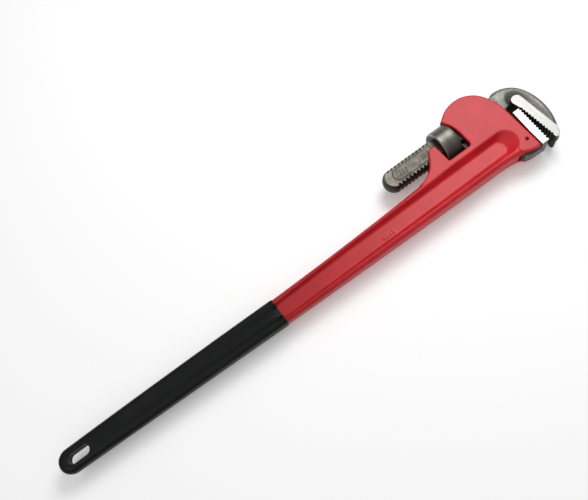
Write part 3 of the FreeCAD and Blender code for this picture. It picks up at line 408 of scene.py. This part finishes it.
def make_nut_steel():
    """Adjusting nut: turned rim with a finely knurled band on its jaw side, painted shade in its bore and a
    painted highlight on its tail rim.
    """
    s = Shader("nut_steel")
    turn = s.noise(900.0, 2.0, 0.5, stretch=(1.0, 0.03, 0.03))
    knurl = s.along("X", KNURL_FADE_X)
    speckle = s.noise(700.0, 3.0, 0.7, stretch=(0.35, 1.0, 1.0))
    tone = s.mix(s.ramp(turn, 0.3, 0.75), *NUT_TONES)
    tone = s.mix(s.both(knurl, s.ramp(speckle, 0.42, 0.6)), tone, NUT_KNURL)
    out = s.math("SUBTRACT", s.axis("Y"), AXIS_Y)
    away = s.math("SUBTRACT", s.axis("Z"), MID_Z)
    inner = s.ramp(s.squares(out, away), *BORE_FADE_SQUARE)
    # Painted shade inside the nut's bore.
    tone = s.cover(tone, inner, 0.85, NUT_BORE_SHADE)
    # Painted highlight on the nut's tail rim.
    rim = s.both(s.along("X", RIM_FADE_X), s.other(inner))
    tone = s.cover(tone, rim, 0.8, NUT_RIM_HIGHLIGHT)
    s.set(Base_Color=tone, Metallic=0.8, Roughness=s.blend(knurl, 0.4, 0.5))
    turned = s.bump(turn, 0.04 * MM, 0.5)
    s.set(Normal=s.bump(s.both(speckle, knurl), 0.2 * MM, 0.8, turned))
    return s.material


def make_plain_steel(name, tones, roughness):
    """Small drawn or pressed steel pieces: faint drawing marks and a little oil staining."""
    s = Shader(name)
    marks = s.noise(800.0, 3.0, 0.6, stretch=(1.0, 1.0, 0.1))
    stain = s.ramp(s.noise(200.0, 3.0), 0.35, 0.75)
    s.set(Base_Color=s.mix(stain, *tones), Metallic=0.9)
    s.set(Roughness=s.blend(marks, roughness - 0.06, roughness + 0.1))
    s.set(Normal=s.bump(marks, 0.02 * MM, 0.5))
    return s.material


# ---------------------------------------------------------------- soft-edged copies of CAD nodes
SMOOTH_FACTOR = 0.5
WEIGHT_LEVELS = 8
WELD_DISTANCE = 1e-6
COARSE = 1.0


def add_object(name, data):
    """A new object in the scene."""
    thing = bpy.data.objects.new(name, data)
    bpy.context.scene.collection.objects.link(thing)
    return thing


def bake_modifiers(piece):
    """Make the modified mesh the piece's own."""
    graph = bpy.context.evaluated_depsgraph_get()
    evaluated = piece.evaluated_get(graph)
    final = bpy.data.meshes.new_from_object(evaluated, preserve_all_data_layers=True, depsgraph=graph)
    piece.modifiers.clear()
    piece.data = final


def add_smoothing(piece, name, passes):
    """A smoothing modifier."""
    smooth = piece.modifiers.new(name, "SMOOTH")
    smooth.factor = SMOOTH_FACTOR
    smooth.iterations = passes
    return smooth


def soft_copy(node, name, body, voxel, passes, marks=None, shape=None, weight=None, more=0):
    """A remeshed and smoothed copy of a CAD node.

    marks changes the CAD mesh before the remesh, shape moves the dense mesh's points, and weight gives each
    point's share, from 0 to 1, in some more smoothing passes.
    """
    mesh = bmesh.new()
    mesh.from_mesh(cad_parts[node].data)
    bmesh.ops.remove_doubles(mesh, verts=mesh.verts, dist=WELD_DISTANCE)
    if marks:
        marks(mesh)
    data = bpy.data.meshes.new(name)
    mesh.to_mesh(data)
    mesh.free()
    piece = add_object(name, data)
    remesh = piece.modifiers.new("melt", "REMESH")
    remesh.mode = "VOXEL"
    remesh.voxel_size = voxel * COARSE
    bake_modifiers(piece)
    points = np.empty(len(piece.data.vertices) * 3)
    piece.data.vertices.foreach_get("co", points)
    points = points.reshape(-1, 3)
    if shape:
        shape(points)
        piece.data.vertices.foreach_set("co", points.ravel())
    if weight:
        group = piece.vertex_groups.new(name="soft")
        levels = np.round(weight(points) * WEIGHT_LEVELS)
        for level in range(1, WEIGHT_LEVELS + 1):
            chosen = np.nonzero(levels == level)[0].tolist()
            group.add(chosen, level / WEIGHT_LEVELS, "REPLACE")
    add_smoothing(piece, "edges", passes)
    if weight:
        add_smoothing(piece, "hollows", more).vertex_group = "soft"
    bake_modifiers(piece)
    piece.data.shade_smooth()
    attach(piece, body)
    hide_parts(node)
    return piece


def give(piece, material):
    """The piece's only material."""
    piece.data.materials.clear()
    piece.data.materials.append(material)


def paint_node(node, material):
    """Put a material in all of a CAD node's slots."""
    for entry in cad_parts[node].material_slots:
        entry.material = material


def step(value, low, high):
    """Smooth step of an array, 0 at low and 1 at high; low above high turns it round."""
    share = np.clip((value - low) / (high - low), 0.0, 1.0)
    return share * share * (3.0 - 2.0 * share)


# ---------------------------------------------------------------- small raised marks
# A bar's chamfer, as a share of its half width.
MARK_LIP = 0.35
WEB_MARK_START_X = 114 * MM
WEB_MARK_PITCH = 5.5 * MM
WEB_MARK_Y = -38 * MM
WEB_MARK_DEPTH = 6.2 * MM
WEB_MARK_WIDTH = 1.8 * MM
WEB_MARK_HEIGHT = 1.6 * MM
WEB_MARK_LENGTHS = (4.0 * MM, 6.5 * MM, 4.0 * MM, 6.5 * MM)
WEB_MARK_TURN = 0.12
PANEL_MARK_ROWS = ((hook_low[0] + 31 * MM, 3), (hook_low[0] + 68 * MM, 4))
PANEL_MARK_PITCH = 5.4 * MM
PANEL_MARK_DEPTH = 11.7 * MM
PANEL_MARK_SIZE = (2.0 * MM, 9.0 * MM, 1.0 * MM)
PANEL_MARK_TURN = -0.35


def add_bar(mesh, centre, size, turn):
    """A small raised bar with chamfered top edges, to be melted into the piece by the remesh."""
    x, y, z = (full / 2 for full in size)
    outer = [(-x, -y, -z), (x, -y, -z), (x, y, -z), (-x, y, -z)]
    lip = MARK_LIP * min(x, y)
    inner = [(-x + lip, -y + lip, z), (x - lip, -y + lip, z), (x - lip, y - lip, z), (-x + lip, y - lip, z)]
    move = Matrix.Translation(centre) @ Matrix.Rotation(turn, 4, "Z")
    corners = [mesh.verts.new(move @ Vector(point)) for point in outer + inner]
    for ring in ((3, 2, 1, 0), (4, 5, 6, 7), (0, 1, 5, 4), (1, 2, 6, 5), (2, 3, 7, 6), (3, 0, 4, 7)):
        mesh.faces.new([corners[i] for i in ring])


def web_marks(mesh):
    """A generic raised mark on the web of each side, where the real tool has its cast mark."""
    for side in (-1, 1):
        for index, length in enumerate(WEB_MARK_LENGTHS):
            centre = Vector((WEB_MARK_START_X + index * WEB_MARK_PITCH, WEB_MARK_Y,
                             MID_Z + side * WEB_MARK_DEPTH))
            add_bar(mesh, centre, (WEB_MARK_WIDTH, length, WEB_MARK_HEIGHT), WEB_MARK_TURN)


def panel_marks(mesh):
    """Generic raised slanting bars on the shank's side panels, near both ends of the panel."""
    for side in (-1, 1):
        for start, count in PANEL_MARK_ROWS:
            for index in range(count):
                centre = Vector((start + index * PANEL_MARK_PITCH, AXIS_Y, MID_Z + side * PANEL_MARK_DEPTH))
                add_bar(mesh, centre, PANEL_MARK_SIZE, PANEL_MARK_TURN)


# ---------------------------------------------------------------- shape of the hook's arm
# The arm starts here, in CAD with a step from the shank's thickness to its own.
ARM_ROOT_X = hook_high[0] - 55.1 * MM
ROOT_SHARE = 10.9 / 13.0
ROOT_EASE = 22 * MM
VALLEY_FADE_X = (hook_high[0] - 54 * MM, hook_high[0] - 40 * MM)
VALLEY_FADE_DEPTH = (JAW_HALF_DEPTH - 0.9 * MM, JAW_HALF_DEPTH - 1.3 * MM)
VALLEY_FADE_CORE = (5 * MM, 10 * MM)
VALLEY_WIDTH = 15 * MM
VALLEY_FADE_GAP = (-1.5 * MM, -0.5 * MM)
VALLEY_SHARE = 0.26
ROUND_ARM_FADE_X = (hook_high[0] - 68 * MM, hook_high[0] - 60 * MM)
ROUND_ARM_FADE_GAP = (0.4 * MM, 3 * MM)
ROUND_ARM_FADE_DEPTH = (JAW_HALF_DEPTH - 0.3 * MM, JAW_HALF_DEPTH - 1.2 * MM)


def block_gap(points):
    """Distance of points from the outline of the hook's ground block, seen from the side."""
    x, y = points[:, 0], points[:, 1] - BLOCK_MID_Y
    out = x - BLOCK_MID_X + np.minimum(y, 0.0) * BLOCK_LEAN
    return np.hypot(out, np.maximum(y, 0.0)) - BLOCK_RADIUS


def arm_valley(points):
    """Let the forged arm fall away toward the ground block, and ease its root into the shank."""
    gap = block_gap(points)
    x, depth = points[:, 0], points[:, 2] - MID_Z
    on_arm = step(x, *VALLEY_FADE_X)
    below_block = step(np.abs(depth), *VALLEY_FADE_DEPTH)
    fall = (1.0 - step(gap, 0.0, VALLEY_WIDTH)) * step(gap, *VALLEY_FADE_GAP)
    outer = below_block * step(np.abs(depth), *VALLEY_FADE_CORE)
    swell = step(x, ARM_ROOT_X, ARM_ROOT_X + ROOT_EASE)
    root = np.where(x > ARM_ROOT_X, (1.0 - ROOT_SHARE) * (1.0 - swell), 0.0)
    points[:, 2] = MID_Z + depth * (1.0 - outer * np.maximum(VALLEY_SHARE * fall * on_arm, root))


def arm_share(points):
    """Where the hook is forged round: the arm, but not the block, the shank or the marks."""
    depth = np.abs(points[:, 2] - MID_Z)
    on_arm = step(points[:, 0], *ROUND_ARM_FADE_X)
    beside_block = step(block_gap(points), *ROUND_ARM_FADE_GAP)
    return on_arm * beside_block * step(depth, *ROUND_ARM_FADE_DEPTH)


# ---------------------------------------------------------------- shape of the handle and its sleeve
# Under the sleeve the casting's section is drawn in by these shares toward its middle.
SLEEVE_MID_Y = -29.0 * MM
UNDER_Y = 0.05
UNDER_Z = 0.07
COVERED_X = grip_low[0] + 60 * MM
COVERED_FADE_TAIL_X = (COVERED_X, grip_low[0] + 70 * MM)
COVERED_FADE_END_X = (grip_high[0] - 2 * MM, grip_high[0] - 5 * MM)
RAY_START = 0.2 * MM
RAY_REACH = 80 * MM

# The hollow in the sleeve's sides widens from the tail to the sleeve's end. Each of its two edges has its place
# across at the tail, from the middle of the grip's box, and how far it moves up to the end.
HOLLOW_FRONT = (-16.0 * MM, -5.0 * MM)
HOLLOW_BACK = (13.5 * MM, 4.5 * MM)
HOLLOW_EDGE = 6 * MM
HOLLOW_FADE_TAIL = (70 * MM, 100 * MM)
HOLLOW_FADE_END_X = (grip_high[0] - 3 * MM, grip_high[0] - 9 * MM)

RECESS_FADE_FRONT_Y = (-56 * MM, -50 * MM)
RECESS_FADE_BACK_Y = (-2 * MM, -8 * MM)
RECESS_FADE_HEAD_X = (380 * MM, 372 * MM)
RECESS_FADE_DEPTH = (3 * MM, 5 * MM)


def sleeve_share(points):
    """The hollow in the sides of the grip, which runs out very softly into the rounded edges."""
    x, y = points[:, 0] - grip_low[0], points[:, 1] - (grip_high[1] + grip_low[1]) / 2
    along = x / (grip_high[0] - grip_low[0])
    front = HOLLOW_FRONT[0] + HOLLOW_FRONT[1] * along
    back = HOLLOW_BACK[0] + HOLLOW_BACK[1] * along
    across = step(y - front, 0.0, HOLLOW_EDGE) * step(back - y, 0.0, HOLLOW_EDGE)
    return across * step(x, *HOLLOW_FADE_TAIL) * step(points[:, 0], *HOLLOW_FADE_END_X)


def hollow_share(points):
    """Where the handle's recess and its rims lie: softened more than the machined head."""
    x, y, depth = points[:, 0], points[:, 1], np.abs(points[:, 2] - MID_Z)
    in_recess = step(y, *RECESS_FADE_FRONT_Y) * step(y, *RECESS_FADE_BACK_Y)
    return in_recess * step(x, *RECESS_FADE_HEAD_X) * step(depth, *RECESS_FADE_DEPTH)


def under_sleeve(points):
    """Draw the casting in a little where the sleeve covers it, so that it stays below the softened sleeve."""
    x = points[:, 0]
    covered = step(x, *COVERED_FADE_TAIL_X) * step(x, *COVERED_FADE_END_X)
    points[:, 1] = SLEEVE_MID_Y + (points[:, 1] - SLEEVE_MID_Y) * (1.0 - UNDER_Y * covered)
    points[:, 2] = MID_Z + (points[:, 2] - MID_Z) * (1.0 - UNDER_Z * covered)


def thicken_sleeve(mesh):
    """Draw the sleeve's inner skin in as far as the casting, so that no corner of the wall is too thin."""
    mesh.normal_update()
    tree = BVHTree.FromBMesh(mesh)
    for vert in mesh.verts:
        start = vert.co + vert.normal * RAY_START
        inner = tree.ray_cast(start, vert.normal, RAY_REACH)[0] is not None
        if inner and vert.co.x > COVERED_X:
            vert.co.y = SLEEVE_MID_Y + (vert.co.y - SLEEVE_MID_Y) * (1.0 - UNDER_Y)
            vert.co.z = MID_Z + (vert.co.z - MID_Z) * (1.0 - UNDER_Z)


# ---------------------------------------------------------------- build the pieces
casting = soft_copy("handle", "handle_casting", "handle", voxel=1.0 * MM, passes=2,
                    marks=web_marks, shape=under_sleeve, weight=hollow_share, more=12)
sleeve = soft_copy("grip", "grip_sleeve", "handle", voxel=1.0 * MM, passes=4,
                   marks=thicken_sleeve, weight=sleeve_share, more=320)
hook = soft_copy("hook_jaw", "hook_jaw_forging", "hook_jaw", voxel=0.55 * MM, passes=2,
                 marks=panel_marks, shape=arm_valley, weight=arm_share, more=60)
heel = soft_copy("heel_jaw", "heel_jaw_block", "handle", voxel=0.5 * MM, passes=1)
rivet = soft_copy("spring_rivet", "rivet", "rocker", voxel=0.15 * MM, passes=2)

give(casting, make_enamel())
give(sleeve, make_vinyl())
give(hook, make_forged())
give(heel, make_jaw_steel())
paint_node("adjusting_nut", make_nut_steel())
pin_steel = make_plain_steel("pin_steel", PIN_TONES, 0.4)
spring_steel = make_plain_steel("spring_steel", SPRING_TONES, 0.32)
paint_node("heel_jaw_pin", pin_steel)
give(rivet, pin_steel)
paint_node("flat_spring", spring_steel)


def make_coil():
    """A copy of the coil, attached to the handle, in spring steel."""
    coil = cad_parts["coil_spring"].copy()
    coil.data = coil.data.copy()
    coil.name = "coil"
    coil.parent = None
    bpy.context.scene.collection.objects.link(coil)
    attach(coil, "handle")
    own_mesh(coil)
    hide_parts("coil_spring")
    give(coil, spring_steel)


make_coil()

# ---------------------------------------------------------------- studio
FLOOR_HALF_SIZE = 6.0
FLOOR_TONES = colour(250, 250, 250), colour(252, 252, 252)
FLOOR_GLOW = 0.17
WHITE = colour(255, 255, 255)

# Strength of the world's light by how steeply one looks up, and of the backdrop that the camera sees.
SKY_FADE = (0.25, 0.95)
SKY_AT_HORIZON = 0.10
SKY_OVERHEAD = 0.66
BACKDROP = 0.58

CAMERA_PLACE = (-0.12775, -0.32504, 0.93477)
CAMERA_TURN_DEG = (21.725, 6.846, -35.880)
SENSOR_MM = 36.0
LENS_MM = 39.8


def make_floor_material():
    """Pale matt floor that glows a little, so that it is nearly white round the wrench."""
    s = Shader("studio_floor")
    s.set(Base_Color=s.mix(s.noise(2.0, 2.0), *FLOOR_TONES), Roughness=0.9)
    s.set(Specular_IOR_Level=0.0, Emission_Color=WHITE, Emission_Strength=FLOOR_GLOW)
    return s.material


def make_floor():
    """A large square at z = 0, on which the wrench lies."""
    size = FLOOR_HALF_SIZE
    data = bpy.data.meshes.new("floor")
    corners = [(-size, -size, 0.0), (size, -size, 0.0), (size, size, 0.0), (-size, size, 0.0)]
    data.from_pydata(corners, [], [(0, 1, 2, 3)])
    floor = add_object("floor", data)
    data.materials.append(make_floor_material())


def add_softbox(name, place, target, width, height, power):
    """A rectangular lamp that faces a point."""
    data = bpy.data.lights.new(name, "AREA")
    data.shape = "RECTANGLE"
    data.size = width
    data.size_y = height
    data.energy = power
    lamp = add_object(name, data)
    lamp.location = place
    direction = Vector(target) - Vector(place)
    lamp.rotation_mode = "QUATERNION"
    lamp.rotation_quaternion = direction.to_track_quat("-Z", "Y")


def make_world():
    """A tent of soft light: bright overhead and dim at the horizon, seen directly as a pale backdrop."""
    world = bpy.data.worlds.new("studio")
    bpy.context.scene.world = world
    world.use_nodes = True
    tree = world.node_tree
    background = tree.nodes["Background"]
    place = tree.nodes.new("ShaderNodeTexCoord")
    split = tree.nodes.new("ShaderNodeSeparateXYZ")
    rise = tree.nodes.new("ShaderNodeMapRange")
    rise.interpolation_type = "SMOOTHSTEP"
    rise.inputs["From Min"].default_value, rise.inputs["From Max"].default_value = SKY_FADE
    rise.inputs["To Min"].default_value = SKY_AT_HORIZON
    rise.inputs["To Max"].default_value = SKY_OVERHEAD
    path = tree.nodes.new("ShaderNodeLightPath")
    seen = tree.nodes.new("ShaderNodeMix")
    seen.data_type = "FLOAT"
    seen.inputs["B"].default_value = BACKDROP
    tree.links.new(place.outputs["Generated"], split.inputs[0])
    tree.links.new(split.outputs["Z"], rise.inputs["Value"])
    tree.links.new(path.outputs["Is Camera Ray"], seen.inputs["Factor"])
    tree.links.new(rise.outputs[0], seen.inputs["A"])
    tree.links.new(seen.outputs[0], background.inputs["Strength"])
    background.inputs["Color"].default_value = WHITE


def make_camera():
    """The photograph's view: from above the front edge, turned so that the wrench runs diagonally."""
    data = bpy.data.cameras.new("camera")
    data.sensor_width = SENSOR_MM
    data.lens = LENS_MM
    data.clip_start = 0.01
    data.clip_end = 20.0
    camera = add_object("camera", data)
    camera.location = CAMERA_PLACE
    camera.rotation_mode = "XYZ"
    camera.rotation_euler = [math.radians(angle) for angle in CAMERA_TURN_DEG]
    bpy.context.scene.camera = camera


make_floor()
make_world()
add_softbox("key", place=(0.85, 0.55, 1.25), target=(0.2, 0.0, 0.0), width=0.9, height=0.7, power=13.0)
add_softbox("fill", place=(-1.2, -0.2, 1.4), target=(-0.1, 0.0, 0.0), width=0.9, height=0.9, power=3.0)
make_camera()
bpy.context.scene.view_settings.view_transform = "Standard"
